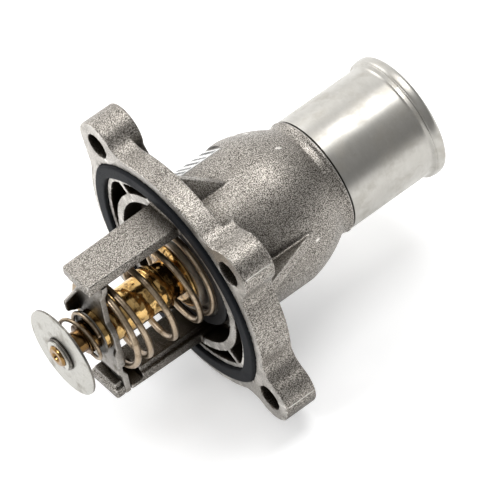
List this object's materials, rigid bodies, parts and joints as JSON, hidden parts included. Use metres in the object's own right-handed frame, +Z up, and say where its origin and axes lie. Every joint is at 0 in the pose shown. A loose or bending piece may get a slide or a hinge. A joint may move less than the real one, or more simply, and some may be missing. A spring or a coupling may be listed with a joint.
{
  "type": "engine thermostat",
  "caption": "Bolt-on coolant outlet casting with a hose stub, carrying a wax-driven main valve with its spring and bridge and a sprung bypass disc.",
  "frame": {"origin": "on the outlet's axis, in the flange face that meets the engine, midway between the short pair of bolt holes", "axes": "+X along the outlet towards the hose end; +Z up through the upper cast arm"},
  "size_m": [0.1108, 0.0715, 0.0644],
  "materials": {
    "cast_aluminium": "sand-textured casting",
    "tube_steel": "smooth satin",
    "gasket_rubber": "matt moulded rubber",
    "disc_steel": "pale satin stamping",
    "seal_rubber": "matt black",
    "spring_steel": "brown oiled wire",
    "bridge_steel": "grey stamping",
    "element_brass": "polished, golden brown",
    "wax": "waxy",
    "inner_rubber": "matt black",
    "pin_steel": "ground",
    "stem_brass": "turned brass",
    "bypass_steel": "pale satin disc",
    "washer_steel": "dark washer",
    "label_stock": "white label, bare"
  },
  "bodies": {
    "root": {"housing": "cast_aluminium", "outlet_tube": "tube_steel", "flange_gasket": "gasket_rubber", "blank_label": "label_stock", "spring_bridge": "bridge_steel", "main_spring": "spring_steel", "piston": "pin_steel"},
    "element": {"valve_disc": "disc_steel", "valve_seal": "seal_rubber", "element_cup": "element_brass", "element_guide": "element_brass", "wax_charge": "wax", "diaphragm": "inner_rubber", "rubber_plug": "inner_rubber", "plug_washer": "pin_steel", "bypass_stem": "stem_brass", "bypass_spring": "spring_steel", "stop_washer": "washer_steel", "retaining_ring": "pin_steel"},
    "bypass_valve": {"bypass_disc": "bypass_steel"}
  },
  "joints": [
    {"name": "valve_lift", "type": "slide", "parent": "root", "child": "element", "axis": [-1, 0, 0], "range_m": [0, 0.008], "stiffness_N_per_m": 3000, "springref_m": -0.015, "deforming": ["main_spring"]},
    {"name": "bypass_slide", "type": "slide", "parent": "element", "child": "bypass_valve", "axis": [1, 0, 0], "range_m": [0, 0.004], "stiffness_N_per_m": 400, "springref_m": -0.004, "deforming": ["bypass_spring"]}
  ]
}
